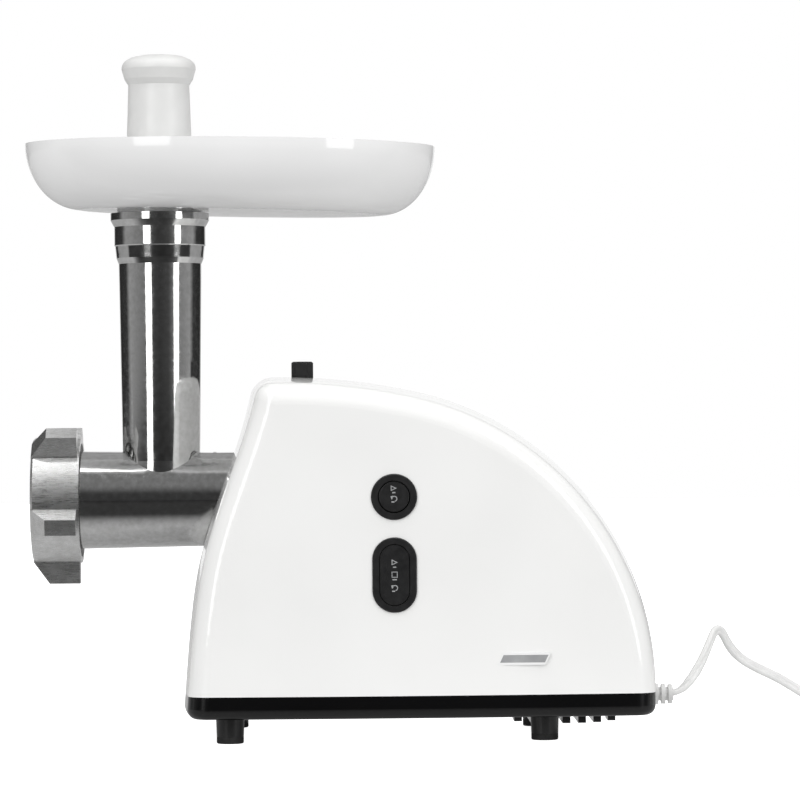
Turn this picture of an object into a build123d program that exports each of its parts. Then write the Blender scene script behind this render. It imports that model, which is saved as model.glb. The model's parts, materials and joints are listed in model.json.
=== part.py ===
from build123d import *
import math
import os

# Electric meat grinder. Millimetres, +Z up, +X towards the back (the cord), -Y the side with
# the switches. The origin is on the table, in the middle of the machine's footprint.

# ---- Driving dimensions -------------------------------------------------------------
# Housing
front_x = -80.4          # foot of the front face, on the spine
back_x = 160.4           # rearmost point
base_bottom = 12.5       # underside of the base
base_top = 24.0          # joint line between base and shell
housing_top = 183.6      # height of the front top corner
side_half = 70.9         # half width at the widest place
side_widest_x = 3.6      # where that place is
side_bow_radius = 1686.0 # the sides are long arcs in plan
crown = 4.5              # the spine stands this much proud of the side outline
edge_radius = 11.0       # rounding between side faces and spine
corner_radius = 12.0     # rounding of the front top corner, side view
shell_wall = 3.0
inner_edge_radius = 4.0  # rounding of the hollow's own edges
base_edge = 5.0          # rounding round the underside
# Feet
foot_radius = 6.8
pad_height = 3.3
foot_places = ((-55.8, -54.0), (-55.8, 54.0), (102.3, -47.0), (102.3, 47.0))
# Vent in the base
vent_x = 114.5
vent_radius = 26.0
vent_pitch = 8.0
vent_ribs = 7
vent_rib_width = 4.0
vent_drop = 6.0          # the ribs hang this much below the underside
# Grinder head
axis_z = 121.5           # barrel, auger and output shaft
barrel_front_x = -152.0
barrel_radius = 25.1     # behind the nut
spigot_radius = 24.1     # where it enters the housing
spigot_end_x = -34.0
barrel_bore = 22.0
thread_radius = 28.8
thread_length = 18.0
socket_gap = 0.5         # radial room round the spigot
tube_x = -91.5
tube_top = 268.6
tube_top_radius = 21.3
tube_foot_radius = 19.9
tube_bore = 17.9
lip_radius = 25.4
# Cutting parts
plate_radius = 26.6
plate_thick = 5.0
plate_hole = 2.2         # radius of each mincing hole
knife_thick = 5.0
nut_length = 24.6
nut_radius = 32.2
lobe_radius = 42.8
lobes = 5
nut_lip = 4.6            # thickness of the nut's front lip
thread_gap = 0.35        # radial room in the thread stand-in
# Tray and pusher
tray_length = 210.8
tray_width = 144.0
tray_depth = 34.4
tray_wall = 2.2
tray_curve = 28.0        # how far the wall curves in at the bottom
tray_offset = 36.4       # from the tray's middle forward to its hole
tray_floor_tilt = 1.4    # degrees, the pan's floor runs down to the back
tray_rim_tilt = 0.75     # degrees, and its rim a little less
neck_depth = 14.0
pusher_radius = 16.6
pusher_neck_radius = 15.7
pusher_head_radius = 19.1
pusher_top = 350.0
# Gears: pinion teeth, wheel teeth, module, face width for each stage, from the motor out
stages = ((10, 50, 1.0, 6.0), (12, 48, 1.1, 8.0), (12, 42, 1.5, 12.0))
gear_gap = 2.0           # axial room between stages
pressure_angle = math.radians(25)
backlash = 0.16
motor_z = 66.0           # height of the motor shaft
idler_angle = 50.0       # degrees, where the second idler hangs round the output shaft
gearbox_front_x = -22.0  # inside of the gearbox's front wall
gearbox_wall = 2.5
axle_radius = 2.5
run_gap = 0.05           # radial room of each running fit
output_radius = 7.0
# Motor
stator_front_x = 30.0
stator_length = 40.0
stator_half = 29.0
armature_radius = 17.6
air_gap = 0.5
shaft_radius = 2.9
# Controls
controls_x = 27.0
button_z = 123.2
bezel_radius = 11.5
cap_radius = 8.1
bezel_proud = 1.1
rocker_z = 84.3
rocker_bezel_size = (22.2, 37.5)
rocker_cap_size = (15.3, 30.8)
slide_gap = 0.35         # between a moving cap and its bezel
release_x = -18.8
release_radius = 5.6
release_top = 191.8
# Lead: a flat twin cord
cord_width = 5.2
cord_thick = 3.2
gland_z = 19.3
gland_radius = 5.4
gland_out = 10.5

os.makedirs("parts", exist_ok=True)


def save(node, name):
    node.part.label = name
    export_step(node.part, f"parts/{name}.step")


def side_half_at(x):
    """Half width of the housing at x, on its bowed side face."""
    return side_half - (x - side_widest_x) ** 2 / (2 * side_bow_radius)


def across(y):
    """A plane along the machine at y, its own axes being X and Z."""
    return Plane.XZ.offset(-y)


def facing(x):
    """A plane across the machine at x that faces the back, its own axes being Y and Z."""
    return Plane(origin=(x, 0, 0), x_dir=(0, 1, 0), z_dir=(1, 0, 0))


# ---- Housing form -------------------------------------------------------------------
form_foot = -20.0        # the form runs on below the base and is cut to height
shoulder = (back_x - 118.9, housing_top - 8.1)
nose = (front_x + 36.7, housing_top)
top_sagitta = 2.9


def housing_form(inset):
    """The whole outer form, or the same form drawn in by inset for the hollow."""
    reach = 20.0
    ends = (front_x - reach, back_x + reach)
    foot_x = front_x - 2.5
    with BuildPart() as form:
        for y in (-side_half, 0, side_half):
            d = inset + (crown if y else 0)
            with BuildSketch(across(y)):
                with BuildLine():
                    Line((back_x - d, form_foot), (foot_x + d, form_foot))
                    Spline(
                        (foot_x + d, form_foot),
                        (front_x + 2.8 + d, base_top + 26),
                        (front_x + 8.9 + d, base_top + 68),
                        (front_x + 29.2 + d, housing_top - 30),
                        (nose[0] + d, nose[1] - d),
                    )
                    shoulder_in = (shoulder[0] - d / 4, shoulder[1] - d)
                    top = SagittaArc((nose[0] + d, nose[1] - d), shoulder_in, top_sagitta)
                    back = TangentArc(top @ 1, (back_x - d, base_top), tangent=top % 1)
                    Line(back @ 1, (back_x - d, form_foot))
                make_face()
                fillet(vertices().sort_by(Axis.X)[1:2], corner_radius - d)
        loft()
        with BuildSketch(Plane.XY.offset(form_foot - reach)):
            with BuildLine():
                near = ThreePointArc(
                    (ends[0], inset - side_half_at(ends[0])),
                    (side_widest_x, inset - side_half),
                    (ends[1], inset - side_half_at(ends[1])),
                )
                far = ThreePointArc(
                    (ends[0], side_half_at(ends[0]) - inset),
                    (side_widest_x, side_half - inset),
                    (ends[1], side_half_at(ends[1]) - inset),
                )
                Line(near @ 0, far @ 0)
                Line(near @ 1, far @ 1)
            make_face()
        extrude(amount=housing_top + 2 * reach - form_foot, mode=Mode.INTERSECT)
        rim = [
            e for e in edges()
            if min(abs(v.Y) for v in e.vertices()) > side_half / 2
            and e.center().Z > form_foot + reach / 2
        ]
        fillet(rim, inner_edge_radius if inset else edge_radius)
    return form.part


outer_form = housing_form(0)
inner_form = housing_form(shell_wall)


def rod(x, radius, length, y=0.0, z=axis_z, mode=Mode.ADD):
    """A round bar along X from x."""
    with Locations(Plane(origin=(x, y, z), z_dir=(1, 0, 0))):
        Cylinder(radius, length, align=(Align.CENTER, Align.CENTER, Align.MIN), mode=mode)


def upright(x, y, z, radius, height, mode=Mode.ADD):
    """A round bar along Z from z."""
    with Locations((x, y, z)):
        Cylinder(radius, height, align=(Align.CENTER, Align.CENTER, Align.MIN), mode=mode)


def crossbar(x, y, z, radius, length, mode=Mode.ADD):
    """A round bar along +Y from y."""
    with Locations(Plane(origin=(x, y, z), z_dir=(0, 1, 0))):
        Cylinder(radius, length, align=(Align.CENTER, Align.CENTER, Align.MIN), mode=mode)


def block(low, high, mode=Mode.ADD):
    """A box between two corners."""
    with Locations(low):
        Box(*(b - a for a, b in zip(low, high)), align=(Align.MIN,) * 3, mode=mode)


# ---- Places worked out from the dimensions ------------------------------------------
near_y = -side_half_at(controls_x)           # the side face where the controls are
screw_places = tuple(
    (x, side * (side_half_at(x) - shell_wall - 6.0))
    for x in (-38.0, 84.0) for side in (-1, 1)
)
latch_travel = 4.0
latch_x = (-39.0, -36.0)                     # front and back of the latch plate
latch_tooth = 5.0                            # width of its tooth
socket_radius = spigot_radius + socket_gap

# ---- Shell and base -----------------------------------------------------------------
with BuildPart() as housing_shell:
    add(outer_form)
    add(inner_form, mode=Mode.SUBTRACT)
    block((front_x - 20, -100, form_foot - 1), (back_x + 20, 100, base_top), mode=Mode.SUBTRACT)
    # screw bosses against the side walls
    for x, y in screw_places:
        upright(x, y, base_top + 2.0, 4.5, 34.0)
        wall_y = math.copysign(side_half_at(x) - shell_wall / 2, y)
        block((x - 2.0, min(y, wall_y), base_top + 2.0), (x + 2.0, max(y, wall_y), base_top + 36.0))
    for x, y in screw_places:
        upright(x, y, base_top + 1.0, 1.5, 26.0, mode=Mode.SUBTRACT)
    # openings
    rod(front_x - 5, socket_radius, 60.0, mode=Mode.SUBTRACT)
    crossbar(controls_x, near_y - 8, button_z, cap_radius + 2.2, 16.0, mode=Mode.SUBTRACT)
    with BuildSketch(across(near_y + 8)):
        with Locations((controls_x, rocker_z)):
            SlotOverall(rocker_cap_size[1] + 3.0, rocker_cap_size[0] + 3.0, rotation=90)
    extrude(amount=16.0, mode=Mode.SUBTRACT)
    upright(release_x, 0, housing_top - 20, release_radius + slide_gap, 40.0, mode=Mode.SUBTRACT)
save(housing_shell, "housing_shell")

gland_waist = gland_radius - 1.9             # the gland's waist sits in this hole
with BuildPart() as base_hollow:
    add(inner_form)
    block((front_x - 20, -100, form_foot - 1), (back_x + 20, 100, base_bottom + 3), mode=Mode.SUBTRACT)
    block((front_x - 20, -100, base_top + 1), (back_x + 20, 100, housing_top + 20), mode=Mode.SUBTRACT)

with BuildPart() as base_cover:
    add(outer_form)
    block((front_x - 20, -100, base_top), (back_x + 20, 100, housing_top + 20), mode=Mode.SUBTRACT)
    block((front_x - 20, -100, form_foot - 1), (back_x + 20, 100, base_bottom), mode=Mode.SUBTRACT)
    fillet(faces().sort_by(Axis.Z)[0].edges(), base_edge)
    add(base_hollow.part, mode=Mode.SUBTRACT)
    # feet: short tapered stems with a socket for the rubber pad
    for x, y in foot_places:
        with Locations((x, y, pad_height)):
            Cone(foot_radius, foot_radius + 0.4, base_bottom - pad_height + 1,
                 align=(Align.CENTER, Align.CENTER, Align.MIN))
    # screw pillars, bored for the shanks and counterbored for the heads
    for x, y in screw_places:
        upright(x, y, base_bottom + 1, 5.0, base_top - base_bottom)
    for x, y in screw_places:
        upright(x, y, base_bottom - 1, 3.8, 6.0, mode=Mode.SUBTRACT)
        upright(x, y, base_bottom, 1.9, 20.0, mode=Mode.SUBTRACT)
    # vent: slots between hanging ribs, in a round outline
    for n in range(vent_ribs):
        x = vent_x + (n - (vent_ribs - 1) / 2) * vent_pitch
        half = math.sqrt(vent_radius ** 2 - (x - vent_x) ** 2)
        rib = vent_rib_width / 2
        block((x - rib, -half, base_bottom - vent_drop), (x + rib, half, base_bottom + 1))
        if n < vent_ribs - 1:
            slot_x = x + vent_pitch / 2
            reach = math.sqrt(vent_radius ** 2 - (slot_x - vent_x) ** 2) - 3
            cut = (vent_pitch - vent_rib_width) / 2 - 0.4
            block((slot_x - cut, -reach, base_bottom - 1), (slot_x + cut, reach, base_bottom + 5),
                  mode=Mode.SUBTRACT)
    # two saddle ribs that carry the motor
    for x in (stator_front_x + 6, stator_front_x + stator_length - 10):
        block((x, -22, base_bottom + 1), (x + 4, 22, motor_z - stator_half))
    rod(back_x - 20, gland_waist + 0.1, 40.0, z=gland_z, mode=Mode.SUBTRACT)
    for x, y in foot_places:
        upright(x, y, pad_height - 1, 3.1, 5.0, mode=Mode.SUBTRACT)
save(base_cover, "base_cover")

with BuildPart() as foot_pads:
    for x, y in foot_places:
        upright(x, y, 0, foot_radius, pad_height)
        upright(x, y, pad_height - 0.5, 3.1, 4.5)
    fillet(faces().filter_by(Axis.Z).group_by(Axis.Z)[0].edges(), 0.8)
save(foot_pads, "foot_pads")

with BuildPart() as base_screws:
    for x, y in screw_places:
        upright(x, y, base_bottom + 2.6, 3.4, 2.4)
        upright(x, y, base_bottom + 4.0, 1.5, 22.0)
    for x, y in screw_places:
        block((x - 2.2, y - 0.5, base_bottom + 2), (x + 2.2, y + 0.5, base_bottom + 3.6), mode=Mode.SUBTRACT)
        block((x - 0.5, y - 2.2, base_bottom + 2), (x + 0.5, y + 2.2, base_bottom + 3.6), mode=Mode.SUBTRACT)
save(base_screws, "base_screws")

badge_x = 90.5
badge_z = 42.0
badge_y = -side_half_at(badge_x)
badge_half = (14.4, 3.1)                     # half length and half height
badge_slant = 1.6                            # its ends lean over by this each way
badge_thick = 1.2                            # half of it let into the wall
with BuildPart() as badge:
    with BuildSketch(across(badge_y + badge_thick / 2)):
        with Locations((badge_x, badge_z)):
            Polygon(
                (badge_slant - badge_half[0], -badge_half[1]),
                (badge_half[0] - 2 * badge_slant, -badge_half[1]),
                (badge_half[0], badge_half[1]),
                (badge_slant - badge_half[0] + 2 * badge_slant, badge_half[1]),
                align=None,
            )
        fillet(vertices(), 0.7)
    extrude(amount=badge_thick)
save(badge, "badge")

# ---- Front socket and latch ---------------------------------------------------------
lug_radius = spigot_radius + 2.4
lug_length = 4.0
lug_front_x = -49.0
groove_radius = lug_radius + socket_gap
socket_flange = 41.5
socket_flange_x = -44.0
pillar_ring = 38.5
pillar_places = [
    (pillar_ring * math.cos(math.radians(a)), axis_z + pillar_ring * math.sin(math.radians(a)))
    for a in (0, 55, 125, 180)
]
with BuildPart() as head_socket:
    rod(-70.0, socket_radius + 6.5, latch_x[0] - 0.6 + 70.0)
    rod(socket_flange_x, socket_flange, latch_x[0] - 0.6 - socket_flange_x)
    add(inner_form, mode=Mode.INTERSECT)
    for y, z in pillar_places:
        rod(socket_flange_x, 3.5, gearbox_front_x - gearbox_wall - socket_flange_x, y, z)
    rod(-80.0, socket_radius, latch_x[0] + 79.4, mode=Mode.SUBTRACT)
    # the bayonet lugs turn in this groove
    rod(lug_front_x - socket_gap, groove_radius, lug_length + 2 * socket_gap, mode=Mode.SUBTRACT)
save(head_socket, "head_socket")

latch_inner = spigot_radius + latch_travel + 1.2
latch_outer = latch_inner + 3.6
arm_thick = 3.0
arm_top = 169.5
spring_coil = 3.0
spring_wire = 0.45
spring_foot = 159.2
spring_pitch = 2.1
with BuildPart() as latch_plate:
    rod(latch_x[0], latch_outer, latch_x[1] - latch_x[0])
    rod(latch_x[0] - 1, latch_inner, 10.0, mode=Mode.SUBTRACT)
    tooth_top = axis_z - spigot_radius + 1.6
    block((latch_x[0], -latch_tooth / 2, axis_z - latch_outer + 1),
          (latch_x[1], latch_tooth / 2, tooth_top))
    # arm up to the release button
    block((latch_x[0], -5, axis_z + latch_outer - 1), (latch_x[1], 5, arm_top))
    block((latch_x[0], -4, arm_top - arm_thick), (release_x + 4, 4, arm_top))
save(latch_plate, "latch_plate")

with BuildPart() as release_button:
    with BuildSketch(Plane.XY.offset(arm_top)):
        with Locations((release_x, 0)):
            RegularPolygon(release_radius, 6)
    extrude(amount=release_top - arm_top)
    chamfer(faces().sort_by(Axis.Z)[-1].edges(), 0.7)
save(release_button, "release_button")

with BuildPart() as latch_spring:
    coil_foot = spring_foot + spring_wire
    with BuildLine():
        Helix(spring_pitch, arm_top - arm_thick - 2 * spring_wire - spring_foot - 0.1, spring_coil,
              center=(release_x, 0, coil_foot))
    wire_start = Plane(origin=(release_x + spring_coil, 0, coil_foot), x_dir=(1, 0, 0), z_dir=(0, 1, 0.1))
    with BuildSketch(wire_start):
        Circle(spring_wire)
    sweep(is_frenet=True)
save(latch_spring, "latch_spring")

# ---- Gears --------------------------------------------------------------------------
def gear_profile(teeth, module, turn):
    """An involute spur gear's outline round the origin; turn sets where a tooth points."""
    pitch = teeth * module / 2
    base = pitch * math.cos(pressure_angle)
    tip = pitch + 0.85 * module
    root = pitch - 1.1 * module
    start = max(base, root + 0.05)
    half_tooth = math.pi / (2 * teeth) - backlash / (2 * pitch)
    at_pitch = math.tan(pressure_angle) - pressure_angle
    flank = []
    for n in range(4):
        radius = start + (tip - start) * n / 3
        roll = math.acos(min(1.0, base / radius))
        angle = half_tooth + at_pitch - (math.tan(roll) - roll)
        flank.append((radius, angle))
    with BuildSketch() as profile:
        with BuildLine():
            points = []
            for n in range(teeth):
                middle = turn + n * 2 * math.pi / teeth
                for radius, angle in [(root, flank[0][1])] + flank:
                    points.append((radius * math.cos(middle - angle), radius * math.sin(middle - angle)))
                for radius, angle in reversed([(root, flank[0][1])] + flank):
                    points.append((radius * math.cos(middle + angle), radius * math.sin(middle + angle)))
            Polyline(*points, close=True)
        make_face()
    return profile.sketch


centres = [module * (a + b) / 2 for a, b, module, width in stages]
output_at = (0.0, axis_z)
motor_at = (0.0, motor_z)
hang = math.radians(idler_angle)
idler_2_at = (centres[2] * math.sin(hang), axis_z - centres[2] * math.cos(hang))
span = math.dist(motor_at, idler_2_at)
along = (centres[0] ** 2 - centres[1] ** 2 + span ** 2) / (2 * span)
off = math.sqrt(centres[0] ** 2 - along ** 2)
unit = ((idler_2_at[0] - motor_at[0]) / span, (idler_2_at[1] - motor_at[1]) / span)
idler_1_at = (
    motor_at[0] + along * unit[0] + off * unit[1],
    motor_at[1] + along * unit[1] - off * unit[0],
)
shafts = (motor_at, idler_1_at, idler_2_at, output_at)
stage_x = []                                 # front of each stage, from the motor out
x = gearbox_front_x + gear_gap
for pinion_teeth, wheel_teeth, module, width in reversed(stages):
    stage_x.insert(0, x)
    x += width + gear_gap
gearbox_back_x = x


def toward(a, b):
    """The direction from shaft a to shaft b, in the Y-Z plane."""
    return math.atan2(b[1] - a[1], b[0] - a[0])


def spur(n, wheel):
    """The pinion or the wheel of stage n as a face on its own shaft, in mesh at rest."""
    pinion_teeth, wheel_teeth, module, width = stages[n]
    direction = toward(shafts[n], shafts[n + 1])
    if wheel:
        turn = direction + math.pi + math.pi / wheel_teeth
        return gear_profile(wheel_teeth, module, turn)
    return gear_profile(pinion_teeth, module, direction)


def gear_plane(x, shaft):
    return Plane(origin=(x, shaft[0], shaft[1]), x_dir=(0, 1, 0), z_dir=(1, 0, 0))


pinions = [spur(n, False) for n in range(3)]
wheels = [spur(n, True) for n in range(3)]
gear_nodes = []
for n in (0, 1):
    shaft = shafts[n + 1]
    with BuildPart() as idler:
        with BuildSketch(gear_plane(stage_x[n], shaft)):
            add(wheels[n])
        extrude(amount=stages[n][3])
        with BuildSketch(gear_plane(stage_x[n + 1], shaft)):
            add(pinions[n + 1])
        extrude(amount=stages[n + 1][3])
        hub = stages[n + 1][0] * stages[n + 1][2] / 2 - 1.2 * stages[n + 1][2]
        rod(stage_x[n + 1], hub, stage_x[n] - stage_x[n + 1], *shaft)
        rod(gearbox_front_x, axle_radius + run_gap, 60.0, *shaft, mode=Mode.SUBTRACT)
    save(idler, f"idler_gear_{n + 1}")

with BuildPart() as output_gear:
    with BuildSketch(gear_plane(stage_x[2], output_at)):
        add(wheels[2])
    extrude(amount=stages[2][3])
    rod(stage_x[2], output_radius, 40.0, mode=Mode.SUBTRACT)
save(output_gear, "output_gear")

# ---- Gearbox ------------------------------------------------------------------------
case_front_x = gearbox_front_x - gearbox_wall
cover_thick = 3.0
rooms = [stages[0][0] * stages[0][2] / 2 + 3] + [a[1] * a[2] / 2 + a[2] + 1.4 for a in stages]
bush_radius = 11.0


def gearbox_outline(extra):
    with BuildSketch() as outline:
        for room, (y, z) in zip(rooms, shafts):
            with Locations((y, z)):
                Circle(room + extra)
        make_hull()
    return outline.sketch


case_outline = gearbox_outline(gearbox_wall)
case_hollow = gearbox_outline(0)
bush_front_x = case_front_x - 4.0
with BuildPart() as gearbox_case:
    with BuildSketch(facing(case_front_x)):
        add(case_outline)
    extrude(amount=gearbox_back_x - case_front_x)
    with BuildSketch(facing(gearbox_front_x)):
        add(case_hollow)
    extrude(amount=gearbox_back_x - gearbox_front_x + 1, mode=Mode.SUBTRACT)
    rod(bush_front_x, bush_radius + 3, case_front_x - bush_front_x)
    for y, z in pillar_places:
        rod(case_front_x, 5.0, 7.0, y, z)
        rod(case_front_x - 1, 1.5, 10.0, y, z, mode=Mode.SUBTRACT)
        rod(case_front_x + 7.0, 3.1, 8.0, y, z, mode=Mode.SUBTRACT)
    with BuildSketch(facing(gearbox_front_x)):
        add(case_hollow)
    extrude(amount=gearbox_back_x - gearbox_front_x + 1, mode=Mode.SUBTRACT)
    rod(bush_front_x - 1, bush_radius, 10.0, mode=Mode.SUBTRACT)
    for y, z in (idler_1_at, idler_2_at):
        rod(case_front_x - 1, axle_radius, 10.0, y, z, mode=Mode.SUBTRACT)
save(gearbox_case, "gearbox_case")

cover_back_x = gearbox_back_x + cover_thick
rear_bush = output_radius + 3.0
with BuildPart() as gearbox_cover:
    with BuildSketch(facing(gearbox_back_x)):
        add(case_outline)
    extrude(amount=cover_thick)
    rod(gearbox_back_x, rear_bush + 2, cover_thick + 3)
    rod(gearbox_back_x - 1, rear_bush, 20.0, mode=Mode.SUBTRACT)
    rod(gearbox_back_x - 1, rooms[0], 20.0, *motor_at, mode=Mode.SUBTRACT)
    for y, z in (idler_1_at, idler_2_at):
        rod(gearbox_back_x - 1, axle_radius, 10.0, y, z, mode=Mode.SUBTRACT)
save(gearbox_cover, "gearbox_cover")

with BuildPart() as gear_axles:
    for y, z in (idler_1_at, idler_2_at):
        rod(case_front_x, axle_radius, cover_back_x - case_front_x, y, z)
save(gear_axles, "gear_axles")

with BuildPart() as output_bushes:
    rod(bush_front_x, bush_radius, gearbox_front_x - bush_front_x)
    rod(gearbox_back_x, rear_bush, cover_thick + 3)
    rod(-60, output_radius + run_gap, 100.0, mode=Mode.SUBTRACT)
save(output_bushes, "output_bushes")

with BuildPart() as gearbox_screws:
    for y, z in pillar_places:
        rod(case_front_x, 1.5, 7.0, y, z)
        rod(case_front_x + 7.0, 2.9, 2.2, y, z)
save(gearbox_screws, "gearbox_screws")

# ---- Output shaft and drive cup -----------------------------------------------------
cup_radius = 10.5
cup_front_x = -44.0
cup_back_x = bush_front_x - 0.6
hex_radius = 6.4
with BuildPart() as output_shaft:
    rod(cup_back_x - 4.0, output_radius, cover_back_x + 2.4 - cup_back_x + 4.0)
    chamfer(edges().filter_by(GeomType.CIRCLE).group_by(Axis.X)[-1], 0.5)
save(output_shaft, "output_shaft")

with BuildPart() as drive_cup:
    rod(cup_front_x, cup_radius, cup_back_x - cup_front_x)
    with BuildSketch(gear_plane(cup_front_x, output_at)):
        RegularPolygon(hex_radius + 0.1, 6)
    extrude(amount=cup_back_x - 4.0 - cup_front_x, mode=Mode.SUBTRACT)
    rod(cup_back_x - 4.0, output_radius, 10.0, mode=Mode.SUBTRACT)
save(drive_cup, "drive_cup")

# ---- Motor --------------------------------------------------------------------------
stator_back_x = stator_front_x + stator_length
coil_in = armature_radius + 2.0
coil_out = coil_in + 5.0
coil_over = 6.0                              # the coils stand out of the stack this far
slot_half = 13.0
coil_split = 3.0
post_at = stator_half - 5.0
posts = [(a * post_at, motor_z + b * post_at) for a in (-1, 1) for b in (-1, 1)]
bracket_thick = 3.0
front_bracket_x = stator_front_x - 10.0
rear_bracket_x = stator_back_x + 24.0
motor_bush = 7.0

with BuildPart() as stator_slots:
    rod(stator_front_x - 1, coil_out + 0.2, stator_length + 2, z=motor_z)
    rod(stator_front_x - 1, coil_in - 0.4, stator_length + 2, z=motor_z, mode=Mode.SUBTRACT)
    block((0, -50, motor_z - slot_half - 0.3), (200, 50, motor_z + slot_half + 0.3), mode=Mode.INTERSECT)

with BuildPart() as stator_stack:
    block((stator_front_x, -stator_half, motor_z - stator_half),
          (stator_back_x, stator_half, motor_z + stator_half))
    fillet(edges().filter_by(Axis.X), 4.0)
    rod(stator_front_x - 1, armature_radius + air_gap, 60.0, z=motor_z, mode=Mode.SUBTRACT)
    add(stator_slots.part, mode=Mode.SUBTRACT)
    for y, z in posts:
        rod(stator_front_x - 1, 2.0, 60.0, y, z, mode=Mode.SUBTRACT)
save(stator_stack, "stator_stack")

with BuildPart() as field_coils:
    rod(stator_front_x - coil_over, coil_out, stator_length + 2 * coil_over, z=motor_z)
    rod(0, coil_in, 120.0, z=motor_z, mode=Mode.SUBTRACT)
    block((0, -50, motor_z - coil_split), (200, 50, motor_z + coil_split), mode=Mode.SUBTRACT)
    for side in (-1, 1):
        low, high = sorted((side * slot_half, side * 50))
        block((stator_front_x - 0.3, -50, motor_z + low), (stator_back_x + 0.3, 50, motor_z + high),
              mode=Mode.SUBTRACT)
save(field_coils, "field_coils")

shaft_end_x = rear_bracket_x + 18.0
with BuildPart() as motor_shaft:
    with BuildSketch(gear_plane(stage_x[0], motor_at)):
        add(pinions[0])
    extrude(amount=stages[0][3])
    rod(stage_x[0], shaft_radius, shaft_end_x - stage_x[0], z=motor_z)
save(motor_shaft, "motor_shaft")

armature_slots = 12
with BuildPart() as armature_core:
    rod(stator_front_x, armature_radius, stator_length, z=motor_z)
    rod(0, shaft_radius, 120.0, z=motor_z, mode=Mode.SUBTRACT)
    for n in range(armature_slots):
        with Locations(Location((0, 0, motor_z), (360 * n / armature_slots, 0, 0))):
            with Locations((stator_front_x - 1, 0, armature_radius - 5.0)):
                Box(stator_length + 2, 1.8, 6.0, align=(Align.MIN, Align.CENTER, Align.MIN),
                    mode=Mode.SUBTRACT)
save(armature_core, "armature_core")

commutator_x = stator_back_x + 11.0
commutator_radius = 9.5
with BuildPart() as armature_windings:
    rod(stator_front_x - 6.0, armature_radius - 2.2, 6.0, z=motor_z)
    rod(stator_back_x, armature_radius - 2.2, 8.0, z=motor_z)
    fillet(edges().filter_by(GeomType.CIRCLE), 2.0)
    rod(0, shaft_radius, 120.0, z=motor_z, mode=Mode.SUBTRACT)
save(armature_windings, "armature_windings")

with BuildPart() as commutator:
    rod(commutator_x - 2.0, commutator_radius, 12.0, z=motor_z)
    rod(0, shaft_radius, 120.0, z=motor_z, mode=Mode.SUBTRACT)
save(commutator, "commutator")

fan_x = rear_bracket_x + bracket_thick + 3.0
fan_radius = 26.0
fan_blades = 9
with BuildPart() as cooling_fan:
    rod(fan_x, fan_radius, 1.6, z=motor_z)
    rod(fan_x, 6.0, 10.0, z=motor_z)
    for n in range(fan_blades):
        with Locations(Location((0, 0, motor_z), (360 * n / fan_blades, 0, 0))):
            with Locations(Location((fan_x, 0, 7.0), (0, 0, 20))):
                Box(9.0, 1.4, fan_radius - 8.5, align=(Align.MIN, Align.CENTER, Align.MIN))
    rod(0, shaft_radius, 130.0, z=motor_z, mode=Mode.SUBTRACT)
save(cooling_fan, "cooling_fan")

with BuildPart() as motor_front_bracket:
    block((front_bracket_x, -stator_half, motor_z - 9),
          (front_bracket_x + bracket_thick, stator_half, motor_z + 9))
    for y, z in posts:
        block((front_bracket_x, y - 4.5, min(z, motor_z) - 4.5),
              (front_bracket_x + bracket_thick, y + 4.5, max(z, motor_z) + 4.5))
        rod(cover_back_x, 3.6, stator_front_x - cover_back_x, y, z)
    rod(front_bracket_x - 3, motor_bush + 2, bracket_thick + 4, z=motor_z)
    rod(0, motor_bush, 60.0, z=motor_z, mode=Mode.SUBTRACT)
    for y, z in posts:
        rod(cover_back_x - 1, 2.0, 60.0, y, z, mode=Mode.SUBTRACT)
save(motor_front_bracket, "motor_front_bracket")

holder_half = 5.0
with BuildPart() as motor_rear_bracket:
    block((rear_bracket_x, -stator_half, motor_z - 9),
          (rear_bracket_x + bracket_thick, stator_half, motor_z + 9))
    for y, z in posts:
        block((rear_bracket_x, y - 4.5, min(z, motor_z) - 4.5),
              (rear_bracket_x + bracket_thick, y + 4.5, max(z, motor_z) + 4.5))
        rod(stator_back_x, 3.6, rear_bracket_x - stator_back_x, y, z)
    # brush boxes stand out of the bracket towards the armature
    for side in (-1, 1):
        low, high = sorted((side * 12.0, side * 28.0))
        block((commutator_x - 1.0, low, motor_z - holder_half), (rear_bracket_x, high, motor_z + holder_half))
    rod(rear_bracket_x - 3, motor_bush + 2, bracket_thick + 4, z=motor_z)
    rod(0, motor_bush, 130.0, z=motor_z, mode=Mode.SUBTRACT)
    for side in (-1, 1):
        low, high = sorted((side * 11.0, side * 26.5))
        block((commutator_x + 1.0, low, motor_z - 3.0), (commutator_x + 7.0, high, motor_z + 3.0),
              mode=Mode.SUBTRACT)
    for y, z in posts:
        rod(stator_back_x - 1, 2.0, 60.0, y, z, mode=Mode.SUBTRACT)
save(motor_rear_bracket, "motor_rear_bracket")

with BuildPart() as carbon_brushes:
    for side in (-1, 1):
        low, high = sorted((side * (commutator_radius + 0.3), side * 24.0))
        block((commutator_x + 1.1, low, motor_z - 2.9), (commutator_x + 6.9, high, motor_z + 2.9))
save(carbon_brushes, "carbon_brushes")

with BuildPart() as motor_bushes:
    rod(front_bracket_x - 3, motor_bush, bracket_thick + 4, z=motor_z)
    rod(rear_bracket_x - 3, motor_bush, bracket_thick + 4, z=motor_z)
    rod(0, shaft_radius + run_gap, 130.0, z=motor_z, mode=Mode.SUBTRACT)
save(motor_bushes, "motor_bushes")

with BuildPart() as motor_screws:
    for y, z in posts:
        rod(cover_back_x, 1.9, rear_bracket_x + bracket_thick - cover_back_x, y, z)
        rod(rear_bracket_x + bracket_thick, 3.6, 2.4, y, z)
save(motor_screws, "motor_screws")

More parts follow.
